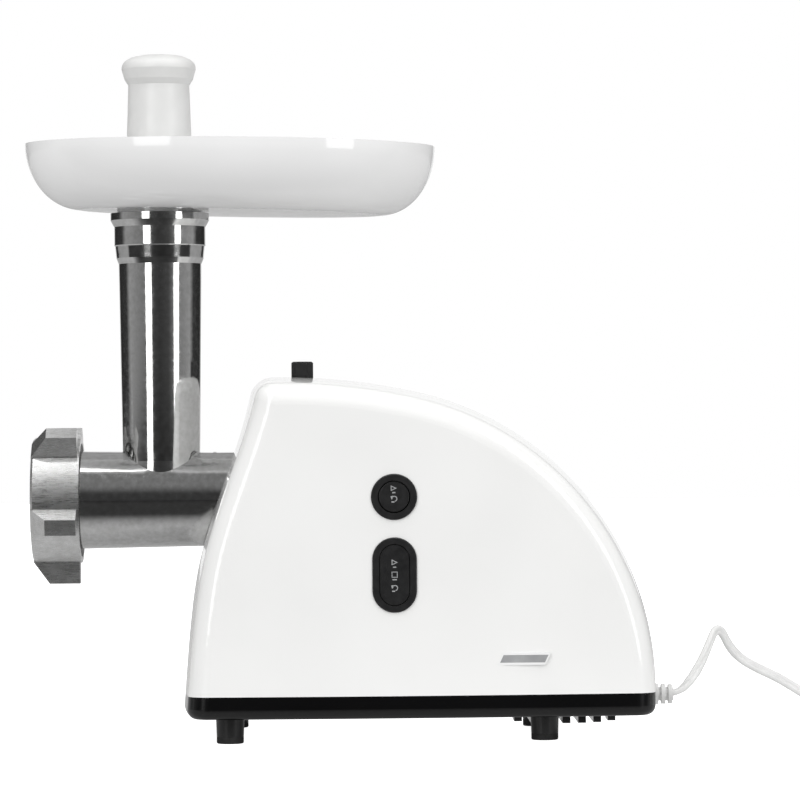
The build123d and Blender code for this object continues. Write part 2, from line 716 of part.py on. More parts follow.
# ---- Controls -----------------------------------------------------------------------
flange_in = 0.45                             # the bezels bed into the bowed side by this much
bezel_neck = 9.0
with BuildPart() as button_bezel:
    crossbar(controls_x, near_y - bezel_proud, button_z, bezel_radius, bezel_proud + flange_in)
    chamfer(edges().filter_by(GeomType.CIRCLE).sort_by(Axis.Y)[0], 0.5)
    crossbar(controls_x, near_y, button_z, cap_radius + 2.1, bezel_neck)
    crossbar(controls_x, near_y - 5, button_z, cap_radius, 40.0, mode=Mode.SUBTRACT)
save(button_bezel, "button_bezel")

with BuildPart() as push_button:
    crossbar(controls_x, near_y - 0.6, button_z, cap_radius - slide_gap, 6.6)
    fillet(edges().filter_by(GeomType.CIRCLE).sort_by(Axis.Y)[0], 0.5)
    crossbar(controls_x, near_y + 5, button_z, 2.5, 4.0)
save(push_button, "push_button")

with BuildPart() as pulse_switch:
    block((controls_x - 9, near_y + 11.5, button_z - 8), (controls_x + 9, near_y + 25, button_z + 8))
    crossbar(controls_x, near_y + 25, button_z + 3, 1.2, 5.0)
    crossbar(controls_x, near_y + 25, button_z - 3, 1.2, 5.0)
    # two arms clip it to the bezel's neck
    for side in (-1, 1):
        low, high = sorted((side * (cap_radius + 0.6), side * (cap_radius + 2.0)))
        block((controls_x + low, near_y + bezel_neck, button_z - 4),
              (controls_x + high, near_y + 12, button_z + 4))
save(pulse_switch, "pulse_switch")


def slot_bar(y, size, depth):
    """An upright stadium-ended bar along +Y from y, at the rocker's place."""
    with BuildSketch(across(y + depth)) as face:
        with Locations((controls_x, rocker_z)):
            SlotOverall(size[1], size[0], rotation=90)
    return extrude(face.sketch, amount=depth, mode=Mode.PRIVATE)


def grown(size, by):
    return (size[0] + by, size[1] + by)


with BuildPart() as rocker_bezel:
    add(slot_bar(near_y - bezel_proud, rocker_bezel_size, bezel_proud + flange_in))
    chamfer(faces().sort_by(Axis.Y)[0].edges(), 0.5)
    add(slot_bar(near_y, grown(rocker_cap_size, 2.8), bezel_neck))
    add(slot_bar(near_y - 5, rocker_cap_size, 40.0), mode=Mode.SUBTRACT)
save(rocker_bezel, "rocker_bezel")

rocker_pivot_y = near_y + 0.6
with BuildPart() as rocker:
    add(slot_bar(near_y - 0.8, grown(rocker_cap_size, -2 * slide_gap), 2.8))
    block((controls_x - 3, near_y + 1.5, rocker_z - 3), (controls_x + 3, near_y + 6, rocker_z + 3))
save(rocker, "rocker")

with BuildPart() as rocker_switch:
    block((controls_x - 8, near_y + bezel_neck, rocker_z - 16), (controls_x + 8, near_y + 26, rocker_z + 16))
    for n in (-1, 0, 1):
        crossbar(controls_x, near_y + 26, rocker_z + n * 9, 1.4, 6.0)
save(rocker_switch, "rocker_switch")

# ---- Grinder head -------------------------------------------------------------------
seat_gap = 0.25
plate_front_x = barrel_front_x - 0.5
plate_back_x = plate_front_x + plate_thick
head_wall_x = -50.0                          # the wall behind the auger
head_wall = 4.0
journal_radius = 8.0
neck_gap = 0.3
neck_wall = 1.15
neck_inner = pusher_radius + neck_gap
neck_outer = neck_inner + neck_wall
tube_skirt = tube_top - 26.0                 # where the flare starts
bead_x = -64.8                               # front of the raised bead at the housing
bead_width = 1.6
recess_floor = spigot_radius - 2.1
# long recess that the latch tooth rides in while the head turns
with BuildPart() as latch_recess:
    rod(latch_x[0] - 1.0, spigot_radius + 4, 10.0)
    rod(latch_x[0] - 2.0, recess_floor, 12.0, mode=Mode.SUBTRACT)
    block((-100, -50, 0), (0, 50, axis_z - spigot_radius * 0.57), mode=Mode.INTERSECT)

with BuildPart() as grinder_head:
    rod(barrel_front_x, thread_radius, thread_length)
    chamfer(edges().filter_by(GeomType.CIRCLE).sort_by(Axis.X)[-1], 1.5)
    taper_x = barrel_front_x + thread_length
    with Locations(Plane(origin=(taper_x, 0, axis_z), z_dir=(1, 0, 0))):
        Cone(barrel_radius, spigot_radius, bead_x - taper_x, align=(Align.CENTER, Align.CENTER, Align.MIN))
    rod(bead_x, spigot_radius + 0.3, bead_width)
    rod(bead_x, spigot_radius, spigot_end_x - bead_x)
    # feed tube with its ringed, flared mouth
    with BuildSketch(Plane.XZ):
        with BuildLine():
            Polyline(
                (tube_x, axis_z),
                (tube_x + tube_foot_radius, axis_z),
                (tube_x + tube_foot_radius, axis_z + 20),
                (tube_x + tube_top_radius, tube_skirt),
                (tube_x + lip_radius - 2.9, tube_skirt + 3.0),
                (tube_x + lip_radius - 2.3, tube_top - 17.0),
                (tube_x + lip_radius - 1.9, tube_top - 16.4),
                (tube_x + lip_radius - 1.9, tube_top - 7.0),
                (tube_x + lip_radius - 1.0, tube_top - 5.4),
                (tube_x + lip_radius, tube_top - 3.6),
                (tube_x + lip_radius, tube_top),
                (tube_x, tube_top),
                close=True,
            )
        make_face()
    revolve(axis=Axis((tube_x, 0, 0), (0, 0, 1)))
    # three bayonet lugs
    for n in range(3):
        with Locations(Location((lug_front_x, 0, axis_z), (120 * n, 0, 0))):
            with Locations((0, 0, spigot_radius - 1)):
                Box(lug_length, 9.0, lug_radius - spigot_radius + 0.6,
                    align=(Align.MIN, Align.CENTER, Align.MIN))
    # bores
    rod(barrel_front_x - 1, plate_radius + seat_gap, plate_back_x - barrel_front_x + 1, mode=Mode.SUBTRACT)
    rod(barrel_front_x - 1, barrel_bore, head_wall_x - barrel_front_x + 1, mode=Mode.SUBTRACT)
    rod(head_wall_x - 1, journal_radius + run_gap, 10.0, mode=Mode.SUBTRACT)
    rod(head_wall_x + head_wall, 18.0, 30.0, mode=Mode.SUBTRACT)
    upright(tube_x, 0, axis_z, tube_bore - 0.5, tube_top, mode=Mode.SUBTRACT)
    upright(tube_x, 0, tube_top - neck_depth - 1.5, neck_outer + neck_gap, 40.0, mode=Mode.SUBTRACT)
    add(latch_recess.part, mode=Mode.SUBTRACT)
save(grinder_head, "grinder_head")

# ---- Auger and knife ----------------------------------------------------------------
knife_gap = 0.3
knife_front_x = plate_back_x + knife_gap
knife_back_x = knife_front_x + knife_thick
flight_front_x = knife_back_x + 0.2
flight_back_x = head_wall_x - 1.0
flight_radius = barrel_bore - 0.5
flight_thick = 3.6
flight_pitch = 23.0
core_radius = 9.0
square = 8.0
plate_pin = 4.0
with BuildPart() as flight:
    with BuildLine():
        Helix(flight_pitch, flight_back_x - flight_front_x - flight_thick - 1, core_radius,
              center=(0, 0, flight_thick / 2 + 0.5))
    root = Plane(origin=(core_radius, 0, flight_thick / 2 + 0.5), x_dir=(1, 0, 0), z_dir=(0, 1, 0))
    with BuildSketch(root):
        with Locations(((flight_radius - core_radius) / 2 - 0.5, 0)):
            Rectangle(flight_radius - core_radius + 1, flight_thick)
    sweep(is_frenet=True)

with BuildPart() as auger:
    with Locations(Location((flight_front_x, 0, axis_z), (0, 90, 0))):
        add(flight.part)
    rod(flight_front_x, core_radius, flight_back_x - flight_front_x)
    rod(flight_back_x, journal_radius, head_wall + 2.0)
    with BuildSketch(gear_plane(flight_back_x + head_wall + 2.0, output_at)):
        RegularPolygon(hex_radius, 6)
    extrude(amount=cup_back_x - 5.0 - flight_back_x - head_wall - 2.0)
    block((knife_front_x, -square / 2, axis_z - square / 2),
          (flight_front_x, square / 2, axis_z + square / 2))
    rod(plate_front_x + 0.5, plate_pin, knife_front_x - plate_front_x)
save(auger, "auger")

knife_radius = barrel_bore - 1.0
with BuildPart() as knife:
    rod(knife_front_x, 8.0, knife_thick)
    for n in range(4):
        with Locations(Location((0, 0, axis_z), (90 * n, 0, 0))):
            with Locations(Location((knife_front_x, 0, 5.0), (0, 0, 14))):
                Box(knife_thick, 4.5, knife_radius - 5.2, align=(Align.MIN, Align.CENTER, Align.MIN))
    block((knife_front_x - 20, -50, 0), (knife_front_x, 50, 200), mode=Mode.SUBTRACT)
    block((knife_back_x, -50, 0), (knife_back_x + 20, 50, 200), mode=Mode.SUBTRACT)
    block((knife_front_x - 1, -square / 2, axis_z - square / 2),
          (knife_back_x + 1, square / 2, axis_z + square / 2), mode=Mode.SUBTRACT)
save(knife, "knife")

with BuildPart() as cutting_plate:
    rod(plate_front_x, plate_radius, plate_thick)
    rod(plate_front_x - 1, plate_pin + run_gap, 10.0, mode=Mode.SUBTRACT)
    for ring_radius, count in ((9.0, 8), (14.5, 14), (19.5, 19)):
        for n in range(count):
            a = 2 * math.pi * n / count
            rod(plate_front_x - 1, plate_hole, 10.0, ring_radius * math.cos(a),
                axis_z + ring_radius * math.sin(a), mode=Mode.SUBTRACT)
save(cutting_plate, "cutting_plate")

# ---- Ring nut -----------------------------------------------------------------------
nut_front_x = plate_front_x - nut_lip
nut_back_x = nut_front_x + nut_length
lobe_width = 12.0
lobe_land = 8.0
lobe_ramp = 8.0
nut_mouth = 23.5
with BuildPart() as lobe:
    with BuildSketch(Plane.XZ):
        with BuildLine():
            Polyline(
                (nut_front_x, 0),
                (nut_front_x, nut_radius - 0.5),
                (nut_front_x + lobe_ramp, lobe_radius),
                (nut_back_x - 1.0, lobe_radius),
                (nut_back_x - 1.0, 0),
                close=True,
            )
        make_face()
    extrude(amount=lobe_width / 2, both=True)
    with BuildSketch(facing(nut_front_x)):
        with BuildLine():
            Polyline(
                (-lobe_width / 2, 0),
                (lobe_width / 2, 0),
                (lobe_width / 2, nut_radius),
                (lobe_land / 2, lobe_radius + 1),
                (-lobe_land / 2, lobe_radius + 1),
                (-lobe_width / 2, nut_radius),
                close=True,
            )
        make_face()
    extrude(amount=nut_length, mode=Mode.INTERSECT)

with BuildPart() as ring_nut:
    rod(nut_front_x, nut_radius, nut_length)
    chamfer(edges().filter_by(GeomType.CIRCLE).sort_by(Axis.X)[0], 1.2)
    for n in range(lobes):
        with Locations(Location((0, 0, axis_z), (180 + 360 * n / lobes, 0, 0))):
            add(lobe.part)
    rod(plate_front_x, thread_radius + thread_gap, nut_length, mode=Mode.SUBTRACT)
    rod(nut_front_x - 1, nut_mouth, nut_length, mode=Mode.SUBTRACT)
save(ring_nut, "ring_nut")

# ---- Tray and pusher ----------------------------------------------------------------
tray_x = tube_x + tray_offset
tray_underside = tube_top + 1.1              # at the feed tube's axis
tray_base_z = tray_underside - tray_offset * math.tan(math.radians(tray_floor_tilt))
wall_steps = (0.0, 0.04, 0.13, 0.3, 0.6, 1.0)
with BuildPart() as tray_outer:
    for step in wall_steps:
        inset = tray_curve * (1 - math.sqrt(1 - (1 - step) ** 2))
        tilt = tray_floor_tilt + (tray_rim_tilt - tray_floor_tilt) * step
        with BuildSketch(Plane(origin=(tray_x, 0, tray_base_z + tray_depth * step)).rotated((0, tilt, 0))):
            Ellipse(tray_length / 2 - inset, tray_width / 2 - inset)
    loft()

with BuildPart() as tray_inner:
    for step in wall_steps:
        inset = tray_curve * (1 - math.sqrt(1 - (1 - step) ** 2)) + tray_wall
        tilt = tray_floor_tilt + (tray_rim_tilt - tray_floor_tilt) * step
        height = tray_base_z + tray_wall + tray_depth * step
        with BuildSketch(Plane(origin=(tray_x, 0, height)).rotated((0, tilt, 0))):
            Ellipse(tray_length / 2 - inset, tray_width / 2 - inset)
    loft()

with BuildPart() as tray:
    add(tray_outer.part)
    add(tray_inner.part, mode=Mode.SUBTRACT)
    upright(tube_x, 0, tube_top + 0.3, neck_outer + 4.0, 2.6)
    upright(tube_x, 0, tube_top - neck_depth, neck_outer, neck_depth + 2.0)
    upright(tube_x, 0, tube_top - neck_depth - 1, neck_inner, neck_depth + 40.0, mode=Mode.SUBTRACT)
save(tray, "tray")

pusher_foot = axis_z + flight_radius + 1.0
head_height = 14.5
with BuildPart() as pusher:
    with BuildSketch(Plane.XZ):
        with BuildLine():
            crest = pusher_top
            Polyline(
                (tube_x, crest),
                (tube_x, pusher_foot),
                (tube_x + pusher_radius - 1.0, pusher_foot),
                (tube_x + pusher_radius, pusher_foot + 1.0),
                (tube_x + pusher_radius, pusher_top - 42),
                (tube_x + pusher_neck_radius, pusher_top - head_height - 1.0),
                (tube_x + pusher_head_radius - 1.5, pusher_top - head_height + 2),
                (tube_x + pusher_head_radius, pusher_top - head_height / 2),
            )
            Spline(
                (tube_x + pusher_head_radius, pusher_top - head_height / 2),
                (tube_x + pusher_head_radius - 4.2, crest - 1.6),
                (tube_x, crest),
                tangents=((0, 1), (-1, 0)),
            )
        make_face()
    revolve(axis=Axis((tube_x, 0, 0), (0, 0, 1)))
save(pusher, "pusher")

# ---- Lead ---------------------------------------------------------------------------
disc_pitch = 3.6
disc_thick = 2.0
gland_inside_x = back_x - 14.0
gland_end_x = back_x + gland_out
with BuildPart() as cord_gland:
    rod(gland_inside_x, gland_waist, gland_end_x - gland_inside_x, z=gland_z)
    for n in range(3):
        rod(back_x + 0.7 + n * disc_pitch, gland_radius - 0.2 * n, disc_thick, z=gland_z)
    rod(gland_inside_x - 1, cord_width / 2, 60.0, z=gland_z, mode=Mode.SUBTRACT)
save(cord_gland, "cord_gland")

with BuildPart() as cord_clamp:
    block((gland_inside_x - 7, -9, base_bottom + 3.05), (gland_inside_x - 1, 9, gland_z + 6.5))
    rod(gland_inside_x - 8, cord_width / 2, 20.0, z=gland_z, mode=Mode.SUBTRACT)
save(cord_clamp, "cord_clamp")

# the lead's route from the gland, over a springy arch and down to the table
route = (
    (145.0, 0.0, 19.3),
    (159.5, 0.0, 19.35),
    (173.5, 0.4, 19.4),
    (180.0, 3.5, 25.5),
    (186.0, 7.5, 34.0),
    (190.8, 11.5, 44.0),
    (194.2, 15.5, 51.4),
    (198.2, 20.0, 50.6),
    (202.5, 24.5, 41.8),
    (209.0, 29.5, 35.2),
    (218.0, 34.0, 30.0),
    (229.0, 38.5, 24.9),
    (241.0, 42.5, 17.5),
    (253.0, 47.0, 9.5),
    (264.5, 50.5, 4.0),
    (277.0, 52.5, 3.2),
    (288.5, 53.0, 3.2),
)
bends = []
for a, b, c in zip(route, route[1:], route[2:]):
    before = Vector(b) - Vector(a)
    after = Vector(c) - Vector(b)
    half_turn = math.radians(before.get_angle(after)) / 2
    bends.append(0.45 * min(before.length, after.length) / math.tan(half_turn))
print("lead bend radii:", [round(r, 1) for r in bends])
with BuildPart() as cord:
    with BuildLine() as line:
        FilletPolyline(*route, radius=bends)
    with BuildSketch(Plane(origin=line.line @ 0, z_dir=line.line % 0)):
        Circle(cord_width / 2)
    sweep(transition=Transition.RIGHT)
lead_length = sum(e.length for e in line.line.edges())
print("lead volume", round(cord.part.volume), "section x length",
      round(math.pi * cord_width ** 2 / 4 * lead_length), "length", round(lead_length, 1))
save(cord, "cord")

coil_place = (290.0, 22.0)
coil_turn = 31.0                             # radius at the middle of the turns
coil_bundle = (11.5, 8.5)                    # width and height of the bundle
coil_foot = 1.0
with BuildPart() as cord_coil:
    upright(*coil_place, coil_foot, coil_turn + coil_bundle[0] / 2, coil_bundle[1])
    upright(*coil_place, coil_foot - 1, coil_turn - coil_bundle[0] / 2, coil_bundle[1] + 2,
            mode=Mode.SUBTRACT)
    fillet(edges().filter_by(GeomType.CIRCLE), 2.5)
save(cord_coil, "cord_coil")

tie_y = coil_place[1] - coil_turn
tie_margin = 1.0
with BuildPart() as coil_tie:
    block((coil_place[0] - 2.5, tie_y - coil_bundle[0] / 2 - tie_margin, 0),
          (coil_place[0] + 2.5, tie_y + coil_bundle[0] / 2 + tie_margin, coil_bundle[1] + 2 * coil_foot))
    add(cord_coil.part, mode=Mode.SUBTRACT)
save(coil_tie, "coil_tie")

plug_x = coil_place[0] + coil_turn + 2.5
plug_boot_y = coil_place[1] - 15.5
plug_body_y = plug_boot_y - 25.0
plug_length = 33.0
plug_size = (34.0, 24.0)
plug_z = plug_size[1] / 2
pin_radius = 2.4
pin_length = 19.0
pin_pitch = 19.0
boot_z = 5.0
with BuildPart() as plug_body:
    for y, z, size in (
        (plug_body_y - plug_length, plug_z, plug_size),
        (plug_body_y - plug_length + 16, plug_z, plug_size),
        (plug_body_y - 6, plug_z - 1.5, (26.0, 18.0)),
        (plug_body_y + 6, plug_z - 5.0, (12.0, 10.0)),
        (plug_boot_y + 1.0, boot_z, (7.6, 6.0)),
    ):
        with BuildSketch(Plane(origin=(plug_x, y, z), x_dir=(1, 0, 0), z_dir=(0, -1, 0))):
            RectangleRounded(*size, min(size) * 0.42)
    loft(ruled=True)
    add(cord_coil.part, mode=Mode.SUBTRACT)
save(plug_body, "plug_body")

with BuildPart() as plug_pins:
    for side in (-1, 1):
        crossbar(plug_x + side * pin_pitch / 2, plug_body_y - plug_length - pin_length, plug_z,
                 pin_radius, pin_length)
        crossbar(plug_x + side * pin_pitch / 2, plug_body_y - plug_length - pin_length, plug_z,
                 pin_radius - 0.5, 1.0, mode=Mode.SUBTRACT)
save(plug_pins, "plug_pins")
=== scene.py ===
import json
import math

import bmesh
import bpy
from mathutils import Matrix, Vector
from mathutils.bvhtree import BVHTree


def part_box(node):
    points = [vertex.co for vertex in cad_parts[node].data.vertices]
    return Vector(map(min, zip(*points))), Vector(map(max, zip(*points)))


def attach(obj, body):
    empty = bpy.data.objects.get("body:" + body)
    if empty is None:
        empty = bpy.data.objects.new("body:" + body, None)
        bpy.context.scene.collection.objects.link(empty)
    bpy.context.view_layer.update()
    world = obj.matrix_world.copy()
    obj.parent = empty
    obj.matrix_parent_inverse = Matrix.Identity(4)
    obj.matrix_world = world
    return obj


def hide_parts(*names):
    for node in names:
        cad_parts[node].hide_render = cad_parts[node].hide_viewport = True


# Electric meat grinder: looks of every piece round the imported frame.

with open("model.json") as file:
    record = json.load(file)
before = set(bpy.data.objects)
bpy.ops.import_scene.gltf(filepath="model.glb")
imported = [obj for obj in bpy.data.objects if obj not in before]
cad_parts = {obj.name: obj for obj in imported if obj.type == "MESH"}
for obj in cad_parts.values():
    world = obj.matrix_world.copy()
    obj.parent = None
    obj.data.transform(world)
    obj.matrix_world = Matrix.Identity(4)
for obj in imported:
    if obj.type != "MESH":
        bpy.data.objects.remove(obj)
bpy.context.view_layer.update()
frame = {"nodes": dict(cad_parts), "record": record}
nodes = frame["nodes"]
MM = 0.001


# ---- Camera ---------------------------------------------------------------------------

CAMERA_PLACE = (0.0, -2.1, 0.1614)
CAMERA_LENS = 183.5
SENSOR = 36.0
YAW, PITCH, ROLL = math.radians(0.857), math.radians(0.281), math.radians(0.45)


def make_camera():
    """A long lens at the height of the barrel, turned a little to the back of the machine."""
    forward = Vector((math.sin(YAW) * math.cos(PITCH), math.cos(YAW) * math.cos(PITCH), math.sin(PITCH)))
    level = forward.cross(Vector((0, 0, 1))).normalized()
    upward = level.cross(forward)
    right = level * math.cos(ROLL) - upward * math.sin(ROLL)
    up = level * math.sin(ROLL) + upward * math.cos(ROLL)
    lens = bpy.data.cameras.new("camera")
    lens.lens = CAMERA_LENS
    lens.sensor_width = SENSOR
    lens.clip_end = 50
    camera = bpy.data.objects.new("camera", lens)
    turn = Matrix((right, up, -forward)).transposed().to_4x4()
    camera.matrix_world = Matrix.Translation(CAMERA_PLACE) @ turn
    bpy.context.scene.collection.objects.link(camera)
    bpy.context.scene.camera = camera


make_camera()
bpy.context.scene.view_settings.view_transform = "Standard"


# ---- Mesh helpers ---------------------------------------------------------------------

def new_piece(name, points, faces, body, smooth=True):
    """A mesh piece from points in metres and faces by index, riding on a body."""
    mesh = bpy.data.meshes.new(name)
    mesh.from_pydata([tuple(p) for p in points], [], faces)
    mesh.validate()
    made = bmesh.new()
    made.from_mesh(mesh)
    bmesh.ops.recalc_face_normals(made, faces=made.faces)
    made.to_mesh(mesh)
    made.free()
    piece = bpy.data.objects.new(name, mesh)
    bpy.context.scene.collection.objects.link(piece)
    for face in mesh.polygons:
        face.use_smooth = smooth
    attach(piece, body)
    return piece


def skin(rings, closed=False):
    """Points and faces of a tube through rings of equal size, capped at both ends unless closed."""
    size = len(rings[0])
    points = [p for ring in rings for p in ring]
    count = len(rings)
    faces = []
    for i in range(count if closed else count - 1):
        for j in range(size):
            low, high = i * size, ((i + 1) % count) * size
            faces.append((low + j, low + (j + 1) % size, high + (j + 1) % size, high + j))
    if not closed:
        faces.append(tuple(reversed(range(size))))
        faces.append(tuple(range((count - 1) * size, count * size)))
    return points, faces


def smoothstep(t):
    """Nought to one with a gentle start and end."""
    t = min(max(t, 0.0), 1.0)
    return t * t * (3 - 2 * t)


# ---- Lead -----------------------------------------------------------------------------

CORD_WIDTH, CORD_THICK = 5.2, 3.2
LEAD_ROUTE = [
    (145, 0, 19.3), (159.5, 0, 19.35), (173.5, 0.4, 19.4), (180, 3.5, 25.5), (186, 7.5, 34),
    (190.8, 11.5, 44), (194.2, 15.5, 51.4), (198.2, 20, 50.6), (202.5, 24.5, 41.8),
    (209, 29.5, 35.2), (218, 34, 30), (229, 38.5, 24.9), (241, 42.5, 17.5), (253, 47, 9.5),
    (264.5, 50.5, 4), (277, 52.5, 3.2),
]
COIL_CENTRE = (290.0, 22.0)
COIL_OUTER, COIL_INNER = 33.6, 28.2
COIL_LOW, COIL_HIGH, COIL_TOP = 1.9, 5.4, 8.2
COIL_TURNS = 4.25
TURN_POINTS = 16
# where along X the cord turns on edge and back, and how much of the lead that may happen in, in metres
EDGE_ON_FROM, EDGE_ON_OVER = 174, 16
EDGE_OFF_FROM, EDGE_OFF_OVER = 238, 32
ARCH_REACH = 0.16
PLUG_ENTRY = [(324.0, 14.5, 7.0), (323.6, 9.5, 5.4), (323.5, 3.0, 5.0)]


def coil_points():
    """Four and a quarter turns, two side by side, two above them and the last part on top."""
    # each stretch: turn where it starts, radius, height
    stages = ((0, COIL_OUTER, COIL_LOW), (1, COIL_INNER, COIL_LOW), (2, COIL_INNER, COIL_HIGH),
              (3, COIL_OUTER, COIL_HIGH), (4, COIL_OUTER - 0.6, COIL_TOP))
    change = 0.22
    made = []
    for i in range(int(COIL_TURNS * TURN_POINTS) + 1):
        turn = i / TURN_POINTS
        radius, height = stages[0][1:]
        for start, to_radius, to_height in stages[1:]:
            share = smoothstep((turn - start + change) / change)
            radius += (to_radius - radius) * share
            height += (to_height - height) * share
        angle = math.pi / 2 - 2 * math.pi * turn
        across, along = radius * math.cos(angle), radius * math.sin(angle)
        made.append((COIL_CENTRE[0] + across, COIL_CENTRE[1] + along, height))
    return made


def smooth_path(name, controls, fineness):
    """Points along a NURBS of order 3 through its control points, all in metres."""
    line = bpy.data.curves.new(name, "CURVE")
    line.dimensions = "3D"
    line.resolution_u = fineness
    spline = line.splines.new("NURBS")
    spline.points.add(len(controls) - 1)
    for point, place in zip(spline.points, controls):
        point.co = (*[c * MM for c in place], 1)
    spline.order_u = 3
    spline.use_endpoint_u = True
    holder = bpy.data.objects.new(name, line)
    bpy.context.scene.collection.objects.link(holder)
    bpy.context.view_layer.update()
    mesh = bpy.data.meshes.new_from_object(holder)
    path = [v.co.copy() for v in mesh.vertices]
    bpy.data.objects.remove(holder)
    bpy.data.curves.remove(line)
    bpy.data.meshes.remove(mesh)
    return path


def twin_outline():
    """Section of the flat cord: two round cores side by side, with a waist where they meet."""
    core = CORD_THICK / 2
    apart = CORD_WIDTH / 2 - core
    reach = math.acos(-apart / core)
    steps = 8
    outline = []
    for side in (1, -1):
        for k in range(steps + 1):
            angle = -reach + 2 * reach * k / steps
            outline.append((side * apart + side * core * math.cos(angle), side * core * math.sin(angle)))
    return outline


def make_lead():
    """The whole lead from the clamp to the plug, as a flat twin cord that turns on edge over its arch."""
    route = LEAD_ROUTE + coil_points() + PLUG_ENTRY
    path = smooth_path("lead_line", route, 6)
    outline = twin_outline()
    rings = []
    travelled = 0.0
    for i, place in enumerate(path):
        ahead, behind = path[min(i + 1, len(path) - 1)], path[max(i - 1, 0)]
        along = (ahead - behind).normalized()
        if i:
            travelled += (place - path[i - 1]).length
        level = Vector((0, 0, 1)).cross(along).normalized()
        rise = along.cross(level)
        # the flat cord leaves the gland level, stands on edge over the arch and lies flat on the table
        lie = 0.0
        if travelled < ARCH_REACH:
            at = place.x / MM
            raised = smoothstep((at - EDGE_ON_FROM) / EDGE_ON_OVER)
            lie = math.pi / 2 * raised * (1 - smoothstep((at - EDGE_OFF_FROM) / EDGE_OFF_OVER))
        wide = level * math.cos(lie) + rise * math.sin(lie)
        thin = along.cross(wide)
        rings.append([place + wide * (a * MM) + thin * (b * MM) for a, b in outline])
    points, faces = skin(rings)
    piece = new_piece("flat_twin_lead", points, faces, "housing")
    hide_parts("cord", "cord_coil")
    make_tie()
    return piece


def make_tie():
    """A plain strap round the coil."""
    half_width, low, high, thick, length = 6.4, 0.15, 7.6, 0.8, 5.0
    centre_y = COIL_CENTRE[1] - (COIL_OUTER + COIL_INNER) / 2
    corner, steps = 2.2, 32
    rings = []
    for k in range(steps):
        angle = 2 * math.pi * (k + 0.5) / steps
        side, lift = math.cos(angle), math.sin(angle)
        ring = []
        for outward, forward in ((0, -0.5), (thick, -0.5), (thick, 0.5), (0, 0.5)):
            middle = (low + high) / 2
            half_high = (high - low) / 2
            y = math.copysign(half_width - corner, side) + corner * side + outward * side
            z = middle + math.copysign(half_high - corner, lift) + corner * lift + outward * lift
            ring.append(Vector((COIL_CENTRE[0] + forward * length, centre_y + y, max(z, 0.05))) * MM)
        rings.append(ring)
    points, faces = skin(rings, closed=True)
    piece = new_piece("coil_strap", points, faces, "housing", smooth=False)
    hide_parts("coil_tie")
    return piece


lead = make_lead()


# ---- Studio ---------------------------------------------------------------------------

def srgb(colour):
    """A hex colour as linear red, green, blue and alpha."""
    parts = [int(colour[i:i + 2], 16) / 255 for i in (1, 3, 5)]
    return [c / 12.92 if c <= 0.04045 else ((c + 0.055) / 1.055) ** 2.4 for c in parts] + [1.0]


def node(tree, kind, settings=None, links=None):
    """Adds one node. Settings are its properties or its sockets' values, and links its inputs' sources."""
    made = tree.nodes.new(kind)
    for name, value in (settings or {}).items():
        if isinstance(name, str) and hasattr(made, name):
            setattr(made, name, value)
        else:
            made.inputs[name].default_value = value
    for name, source in (links or {}).items():
        tree.links.new(source, made.inputs[name])
    return made


def make_floor():
    """A wide white sweep. In reflections it is painted pale near the machine and painted dark further in front,
    as painted shade.
    """
    half = 6.0
    mesh = bpy.data.meshes.new("floor")
    corners = [(-half, -half, 0), (half, -half, 0), (half, half, 0), (-half, half, 0)]
    mesh.from_pydata(corners, [], [(0, 1, 2, 3)])
    floor = bpy.data.objects.new("floor", mesh)
    bpy.context.scene.collection.objects.link(floor)
    material = bpy.data.materials.new("white_paper_sweep")
    material.use_nodes = True
    tree = material.node_tree
    tree.nodes.clear()
    seen = node(tree, "ShaderNodeLightPath")
    place = node(tree, "ShaderNodeTexCoord").outputs["Object"]
    split = node(tree, "ShaderNodeSeparateXYZ", links={0: place})
    near = node(tree, "ShaderNodeMapRange", {
        "From Min": -0.20, "From Max": -0.04, "To Min": 0.0, "To Max": 1.0, "interpolation_type": "SMOOTHSTEP",
    }, {"Value": split.outputs["Y"]})
    # painted light: a faint glow near the machine, seen only in reflections
    glow = node(tree, "ShaderNodeMath", {"operation": "MULTIPLY", 1: 0.22}, {0: near.outputs[0]})
    bounced = node(tree, "ShaderNodeMix", {"data_type": "FLOAT", 3: 0.55},
                   {0: seen.outputs["Is Diffuse Ray"], 2: glow.outputs[0]})
    shown = node(tree, "ShaderNodeMix", {"data_type": "FLOAT", 3: 1.0},
                 {0: seen.outputs["Is Camera Ray"], 2: bounced.outputs[0]})
    # painted shade: the floor's colour in reflections and bounced light, dark grey in front and paler near the
    # machine
    painted_floor_shade = node(tree, "ShaderNodeMix", {"data_type": "RGBA", 6: srgb("#181818"), 7: srgb("#909090")},
                 {0: near.outputs[0]})
    colour = node(tree, "ShaderNodeMix", {"data_type": "RGBA", 7: srgb("#DCDCDC")},
                  {0: seen.outputs["Is Camera Ray"], 6: painted_floor_shade.outputs[2]})
    shader = node(tree, "ShaderNodeBsdfPrincipled", {"Roughness": 0.6, "Emission Color": (1, 1, 1, 1)},
                  {"Emission Strength": shown.outputs[0], "Base Color": colour.outputs[2]})
    node(tree, "ShaderNodeOutputMaterial", links={"Surface": shader.outputs[0]})
    mesh.materials.append(material)


